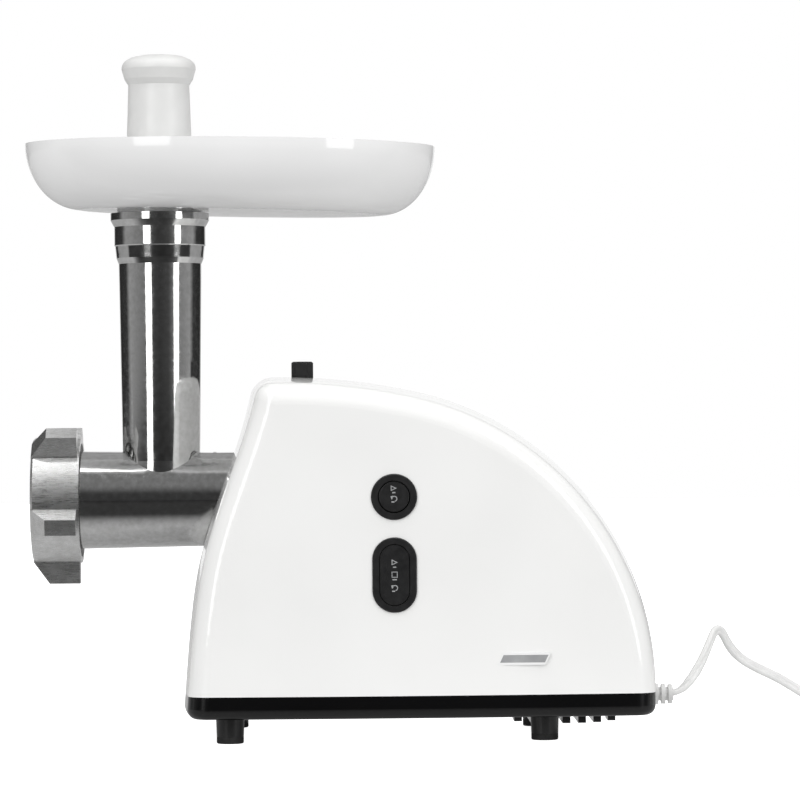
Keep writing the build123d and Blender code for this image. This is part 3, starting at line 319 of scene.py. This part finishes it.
def make_surroundings():
    """Grey studio walls, dark behind the camera and paler aside, a soft roof and a white sheet behind."""
    world = bpy.data.worlds.new("studio")
    bpy.context.scene.world = world
    world.use_nodes = True
    tree = world.node_tree
    tree.nodes.clear()
    direction = node(tree, "ShaderNodeTexCoord").outputs["Generated"]
    split = node(tree, "ShaderNodeSeparateXYZ", links={0: direction})
    back = node(tree, "ShaderNodeMath", {"operation": "MULTIPLY", 1: -1.0}, {0: split.outputs["Y"]})
    turn = node(tree, "ShaderNodeMath", {"operation": "ARCTAN2"}, {0: split.outputs["X"], 1: back.outputs[0]})
    aside = node(tree, "ShaderNodeMath", {"operation": "ABSOLUTE"}, {0: turn.outputs[0]})
    share = node(tree, "ShaderNodeMath", {"operation": "DIVIDE", 1: math.pi}, {0: aside.outputs[0]})
    walls = node(tree, "ShaderNodeValToRGB", links={0: share.outputs[0]})
    ramp = walls.color_ramp
    stops = ((0.0, 0.05), (0.14, 0.08), (0.26, 0.26), (0.52, 0.40), (0.60, 0.05), (0.80, 0.03), (1.0, 0.12))
    while len(ramp.elements) < len(stops):
        ramp.elements.new(0.5)
    for element, (at, grey) in zip(ramp.elements, stops):
        element.position = at
        element.color = (grey, grey, grey, 1)
    behind = node(tree, "ShaderNodeMapRange", {
        "From Min": -0.10, "From Max": 0.25, "To Min": 0.24, "To Max": 0.42,
    }, {"Value": split.outputs["Y"]})
    high = node(tree, "ShaderNodeMapRange", {
        "From Min": 0.22, "From Max": 0.62, "interpolation_type": "SMOOTHSTEP",
    }, {"Value": split.outputs["Z"]})
    upper = node(tree, "ShaderNodeMix", {"data_type": "RGBA"},
                 {0: high.outputs[0], 6: walls.outputs[0], 7: behind.outputs[0]})
    roof = node(tree, "ShaderNodeMapRange", {"From Min": 0.90, "From Max": 0.98, "To Min": 0.0, "To Max": 1.0,
                "interpolation_type": "SMOOTHSTEP"}, {"Value": split.outputs["Z"]})
    room = node(tree, "ShaderNodeMix", {"data_type": "RGBA", 7: (0.9, 0.9, 0.9, 1)},
                {0: roof.outputs[0], 6: upper.outputs[2]})
    # a white sheet right behind the machine
    sheet = node(tree, "ShaderNodeMapRange", {
        "From Min": 0.90, "From Max": 0.96, "interpolation_type": "SMOOTHSTEP",
    }, {"Value": split.outputs["Y"]})
    backed = node(tree, "ShaderNodeMix", {"data_type": "RGBA", 7: (0.95, 0.95, 0.95, 1)},
                  {0: sheet.outputs[0], 6: room.outputs[2]})
    seen = node(tree, "ShaderNodeLightPath")
    # the room's pale walls also fill the shadows softly
    filled = node(tree, "ShaderNodeMix", {"data_type": "RGBA", 7: (0.76, 0.76, 0.76, 1)},
                  {0: seen.outputs["Is Diffuse Ray"], 6: backed.outputs[2]})
    shown = node(tree, "ShaderNodeMix", {"data_type": "RGBA", 7: (1, 1, 1, 1)},
                 {0: seen.outputs["Is Camera Ray"], 6: filled.outputs[2]})
    light = node(tree, "ShaderNodeBackground", {"Strength": 1.0}, {"Color": shown.outputs[2]})
    node(tree, "ShaderNodeOutputWorld", links={"Surface": light.outputs[0]})


def strip_light(name, azimuth, distance, width, height, brightness, centre_z):
    """A tall soft box. Azimuth is from the camera's side, to the machine's back, in degrees."""
    lamp = bpy.data.lights.new(name, "AREA")
    lamp.shape = "RECTANGLE"
    lamp.size, lamp.size_y = width, height
    lamp.energy = brightness * math.pi * width * height
    turn = math.radians(azimuth)
    place = Vector((distance * math.sin(turn), -distance * math.cos(turn), centre_z))
    holder = bpy.data.objects.new(name, lamp)
    holder.location = place
    aim = Vector((0, 0, 0.2)) - place
    holder.rotation_euler = aim.to_track_quat("-Z", "Y").to_euler()
    holder.visible_camera = False
    bpy.context.scene.collection.objects.link(holder)


make_floor()
make_surroundings()
strip_light("strip_left", -33, 1.5, 0.54, 2.2, 3.5, 1.0)
strip_light("strip_right", 46, 1.5, 0.50, 2.2, 3.5, 1.0)
strip_light("overhead", 0, 0.29, 1.5, 0.34, 2.6, 1.6)


# ---- Materials ------------------------------------------------------------------------

def fresh(name):
    """A new material with an empty tree."""
    material = bpy.data.materials.new(name)
    material.use_nodes = True
    material.node_tree.nodes.clear()
    return material, material.node_tree


def grain(tree, size_mm, detail=2.0, stretch=(1, 1, 1)):
    """Noise with features of about size_mm, drawn out along an axis where stretch is under one."""
    place = node(tree, "ShaderNodeTexCoord").outputs["Object"]
    scaled = node(tree, "ShaderNodeMapping", {"Scale": stretch}, {"Vector": place})
    return node(tree, "ShaderNodeTexNoise", {"Scale": 1000.0 / size_mm, "Detail": detail},
                {"Vector": scaled.outputs[0]}).outputs["Fac"]


def spread(tree, source, low, high):
    """Source, from a third to two thirds as noise has, brought to low..high."""
    return node(tree, "ShaderNodeMapRange", {
        "From Min": 0.33, "From Max": 0.67, "To Min": low, "To Max": high,
    }, {"Value": source}).outputs[0]


def shades(tree, source, dark, light):
    """A colour that wanders between a dark and a light shade with the source."""
    share = spread(tree, source, 0.0, 1.0)
    mixed = node(tree, "ShaderNodeMix", {"data_type": "RGBA", 6: srgb(dark), 7: srgb(light)}, {0: share})
    return mixed.outputs[2]


def relief(tree, source, depth_mm, strength=1.0):
    """Fine bumps of the given depth."""
    return node(tree, "ShaderNodeBump", {"Strength": strength, "Distance": depth_mm * MM},
                {"Height": source}).outputs[0]


def finish_with(tree, settings, links):
    """The shader of a finish and the tree's output."""
    shader = node(tree, "ShaderNodeBsdfPrincipled", settings, links)
    node(tree, "ShaderNodeOutputMaterial", links={"Surface": shader.outputs[0]})


def glossy_moulded_abs(name, dark, light, smooth, rough):
    """ABS from a polished mould: even colour, a clear gloss and the faint waviness of moulded walls."""
    material, tree = fresh(name)
    mottle = grain(tree, 60.0)
    wave = grain(tree, 18.0, 1.0)
    finish_with(tree, {"IOR": 1.53}, {
        "Base Color": shades(tree, mottle, dark, light),
        "Roughness": spread(tree, grain(tree, 6.0), smooth, rough),
        "Normal": relief(tree, wave, 0.012),
    })
    return material


def spark_textured_plastic(name, dark, light, smooth, rough, grain_mm, depth_mm, ior=1.53):
    """Plastic from a spark-eroded mould: a fine even pebble that breaks the highlight up."""
    material, tree = fresh(name)
    pebble = grain(tree, grain_mm, 3.0)
    finish_with(tree, {"IOR": ior}, {
        "Base Color": shades(tree, grain(tree, 9.0), dark, light),
        "Roughness": spread(tree, grain(tree, 3.0), smooth, rough),
        "Normal": relief(tree, pebble, depth_mm),
    })
    return material


def tumbled_cast_aluminium(name):
    """Die-cast aluminium, tumbled and buffed: bright, with small clouds of duller metal and fine pits."""
    material, tree = fresh(name)
    cloud = grain(tree, 3.0, 4.0)
    pits = grain(tree, 0.8, 3.0)
    finish_with(tree, {"Metallic": 1.0}, {
        "Base Color": shades(tree, cloud, "#C6C6C5", "#D6D6D6"),
        "Roughness": spread(tree, cloud, 0.07, 0.13),
        "Normal": relief(tree, pits, 0.0025),
    })
    return material


def ground_metal(name, dark, light, smooth, rough, groove_mm, stretch):
    """Metal ground or turned one way: fine grooves draw the highlight out across them."""
    material, tree = fresh(name)
    grooves = grain(tree, groove_mm, 3.0, stretch)
    finish_with(tree, {"Metallic": 1.0}, {
        "Base Color": shades(tree, grain(tree, 4.0), dark, light),
        "Roughness": spread(tree, grooves, smooth, rough),
        "Normal": relief(tree, grooves, 0.01),
    })
    return material


def enamelled_copper_wire(name):
    """Copper wire wound under amber enamel: strands laid about half a millimetre apart, under varnish."""
    material, tree = fresh(name)
    strands = grain(tree, 0.6, 2.0, (0.08, 1, 1))
    finish_with(tree, {"Metallic": 0.7, "Coat Weight": 0.6, "Coat Roughness": 0.2}, {
        "Base Color": shades(tree, strands, "#5A2A12", "#B8672F"),
        "Roughness": spread(tree, strands, 0.25, 0.45),
        "Normal": relief(tree, strands, 0.15),
    })
    return material


ALONG_X, ALONG_Z = (0.06, 1, 1), (1, 1, 0.06)
FINISHES = {
    "white_abs": glossy_moulded_abs("white_abs_polished", "#E4E4E3", "#E7E7E6", 0.05, 0.075),
    "white_tray": glossy_moulded_abs("white_abs_tray", "#E3E3E3", "#E6E6E6", 0.05, 0.07),
    "white_pusher": spark_textured_plastic(
        "white_pp_pusher", "#D0D0CF", "#D4D4D3", 0.32, 0.42, 0.9, 0.008, 1.49),
    "black_abs": glossy_moulded_abs("black_abs_polished", "#060607", "#0A0A0B", 0.07, 0.11),
    "black_control": spark_textured_plastic(
        "black_abs_controls", "#161617", "#1C1C1D", 0.36, 0.48, 0.5, 0.02),
    "rubber_pad": spark_textured_plastic("black_rubber", "#101010", "#1A1A1A", 0.65, 0.85, 0.8, 0.05, 1.52),
    "badge_grey": glossy_moulded_abs("grey_lacquered_badge", "#E2E2E2", "#E6E6E6", 0.12, 0.18),
    "cast_aluminium": tumbled_cast_aluminium("buffed_cast_aluminium"),
    # painted brightness: paler than the cast head's aluminium, for the ring nut
    "turned_aluminium": ground_metal("turned_ring_aluminium_painted_pale", "#D6D6D5", "#E4E4E4", 0.24, 0.34, 0.4, ALONG_X),
    "cutter_steel": ground_metal("ground_cutter_steel", "#8E8F90", "#B4B5B6", 0.20, 0.34, 0.5, (1, 1, 0.1)),
    "steel": ground_metal("bright_steel", "#8A8B8E", "#A8A9AB", 0.22, 0.36, 0.5, ALONG_X),
    "copper_enamel": enamelled_copper_wire("enamelled_copper_windings"),
    "commutator_copper": ground_metal("turned_copper", "#9A5433", "#C27A50", 0.25, 0.40, 0.4, ALONG_X),
    "bronze": ground_metal("sintered_bronze", "#7A5426", "#A1783C", 0.40, 0.60, 0.4, (1, 1, 1)),
    "carbon": spark_textured_plastic("pressed_carbon", "#161617", "#242426", 0.45, 0.60, 0.4, 0.03),
    "nylon_natural": spark_textured_plastic("natural_nylon", "#CFCAB8", "#DDD8C8", 0.35, 0.48, 0.9, 0.02),
    "nylon_grey": spark_textured_plastic(
        "glass_filled_grey_nylon", "#2E3032", "#3A3C3E", 0.42, 0.58, 0.7, 0.03),
    "phenolic": spark_textured_plastic("black_phenolic", "#0E0E0F", "#191919", 0.30, 0.45, 0.8, 0.02),
    "pvc_white": spark_textured_plastic("soft_white_pvc", "#D8D8D7", "#E0E0DF", 0.34, 0.46, 0.7, 0.01),
    "plated_brass": ground_metal("nickel_plated_brass", "#B9B5A8", "#CFCCC2", 0.12, 0.22, 0.5, ALONG_X),
    "icon_print": spark_textured_plastic("pale_grey_pad_print", "#8E8F90", "#A0A1A2", 0.45, 0.55, 0.3, 0.005),
}
# the ring nut gets its own turned finish, rougher than the tumbled head so it looks softer; its paler colour is
# painted brightness, a lit copy of the head's aluminium
OWN_FINISH = {"ring_nut": "turned_aluminium"}
slot_of = {part["node"]: part["material_slot"] for part in frame["record"]["subparts"]}
for name, part in nodes.items():
    part.data.materials.clear()
    part.data.materials.append(FINISHES[OWN_FINISH.get(name, slot_of[name])])


def paint(piece, finish):
    """Gives a piece one of the finishes."""
    piece.data.materials.append(FINISHES[finish])


paint(lead, "pvc_white")
paint(bpy.data.objects["coil_strap"], "pvc_white")


# ---- Printed icons --------------------------------------------------------------------

INK = 0.03
LINE = 0.38


def caster(name):
    """A node's surface, for finding where ink lands on it."""
    mesh = nodes[name].data
    points = [v.co.copy() for v in mesh.vertices]
    return BVHTree.FromPolygons(points, [tuple(p.vertices) for p in mesh.polygons])


def printed(name, cap, body, strokes):
    """Flat ink strokes on a cap's face. Each is a strip between outer and inner points, in mm, closed or not."""
    cast = caster(cap)
    points, faces = [], []
    for outer, inner, closed in strokes:
        start = len(points)
        for x, z in [*outer, *inner]:
            hit = cast.ray_cast(Vector((x * MM, -0.2, z * MM)), Vector((0, 1, 0)))[0]
            points.append(hit - Vector((0, INK * MM, 0)))
        count = len(outer)
        for i in range(count if closed else count - 1):
            j = (i + 1) % count
            faces.append((start + i, start + j, start + count + j, start + count + i))
    front = list(points)
    offset = len(front)
    points += [p + Vector((0, 2 * INK * MM, 0)) for p in front]
    edges = [(a, b) for face in faces for a, b in zip(face, face[1:] + face[:1])]
    rim = [(a, b) for a, b in edges if (b, a) not in edges]
    sides = [(b, a, a + offset, b + offset) for a, b in rim]
    backs = [tuple(i + offset for i in reversed(face)) for face in faces]
    piece = new_piece(name, points, faces + sides + backs, body, smooth=False)
    paint(piece, "icon_print")
    return piece


def outline(corners, width):
    """A closed strip between a polygon and the same polygon drawn in by width, as seen from the front."""
    centre = Vector((sum(c[0] for c in corners) / len(corners), sum(c[1] for c in corners) / len(corners)))
    inner = []
    count = len(corners)
    for i in range(count):
        a, b, c = (Vector(corners[(i + k) % count]) for k in (-1, 0, 1))
        into, away = (b - a).normalized(), (c - b).normalized()
        normal = Vector((-into.y - away.y, into.x + away.x))
        if normal.dot(centre - b) < 0:
            normal = -normal
        normal.normalize()
        half = math.sqrt(max((1 + into.dot(away)) / 2, 0.05))
        inner.append(tuple(b + normal * (width / half)))
    dense_outer, dense_inner = [], []
    steps = 4
    for i in range(count):
        j = (i + 1) % count
        for k in range(steps):
            t = k / steps
            dense_outer.append(tuple(Vector(corners[i]).lerp(Vector(corners[j]), t)))
            dense_inner.append(tuple(Vector(inner[i]).lerp(Vector(inner[j]), t)))
    return dense_outer, dense_inner, True


def arc(x, z, radius, width, start, end, steps=14):
    outer, inner = [], []
    for k in range(steps + 1):
        angle = math.radians(start + (end - start) * k / steps)
        outer.append((x + radius * math.cos(angle), z + radius * math.sin(angle)))
        inner.append((x + (radius - width) * math.cos(angle), z + (radius - width) * math.sin(angle)))
    return outer, inner, False


def bar(x, z, half_x, half_z):
    above = [(x - half_x, z + half_z), (x + half_x, z + half_z)]
    below = [(x - half_x, z - half_z), (x + half_x, z - half_z)]
    return above, below, False


def triangle(x, z, size):
    half, point = size / 2, 0.2
    return outline([(x - half, z + half), (x + half + point, z), (x - half, z - half)], LINE)


def square(x, z, size):
    half = size / 2
    corners = [(x - half, z + half), (x + half, z + half), (x + half, z - half), (x - half, z - half)]
    return outline(corners, LINE)


def reverse_arrow(x, z):
    """An arrow bent back on itself."""
    head = ([(x - 1.75, z + 1.1), (x - 0.35, z + 1.35)], [(x - 1.3, z - 0.5), (x - 0.9, z - 0.3)], False)
    return [arc(x + 0.2, z - 0.15, 1.45, 0.42, -80, 155), head, bar(x - 0.55, z - 1.75, 0.75, 0.3)]


def middle(name):
    """The middle of a node in X and Z, in mm."""
    low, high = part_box(name)
    return (low.x + high.x) / 2 / MM, (low.z + high.z) / 2 / MM


button_x, button_z = middle("push_button")
rocker_x, rocker_z = middle("rocker")
printed("button_icons", "push_button", "pulse_button", [
    triangle(button_x - 0.2, button_z + 4.3, 2.8), bar(button_x - 0.1, button_z + 2.1, 0.8, 0.3),
    *reverse_arrow(button_x, button_z - 0.8),
])
printed("rocker_icons", "rocker", "rocker", [
    triangle(rocker_x, rocker_z + 6.3, 2.9), bar(rocker_x, rocker_z + 3.9, 0.8, 0.3),
    square(rocker_x, rocker_z + 0.2, 3.0), bar(rocker_x, rocker_z - 2.3, 1.1, 0.3),
    *reverse_arrow(rocker_x, rocker_z - 6.3),
])


# a plain slanted bar on the badge's plate, with points close enough to follow the bowed side
BLANK_HALF, BLANK_HIGH, BLANK_LEAN, BLANK_STEPS = 11.2, 1.9, 0.9, 12
badge_x, badge_z = middle("badge")
along_bar = [BLANK_HALF * (2 * k / BLANK_STEPS - 1) for k in range(BLANK_STEPS + 1)]
printed("badge_blank", "badge", "housing", [(
    [(badge_x + BLANK_LEAN + along, badge_z + BLANK_HIGH) for along in along_bar],
    [(badge_x - BLANK_LEAN + along, badge_z - BLANK_HIGH) for along in along_bar],
    False,
)])
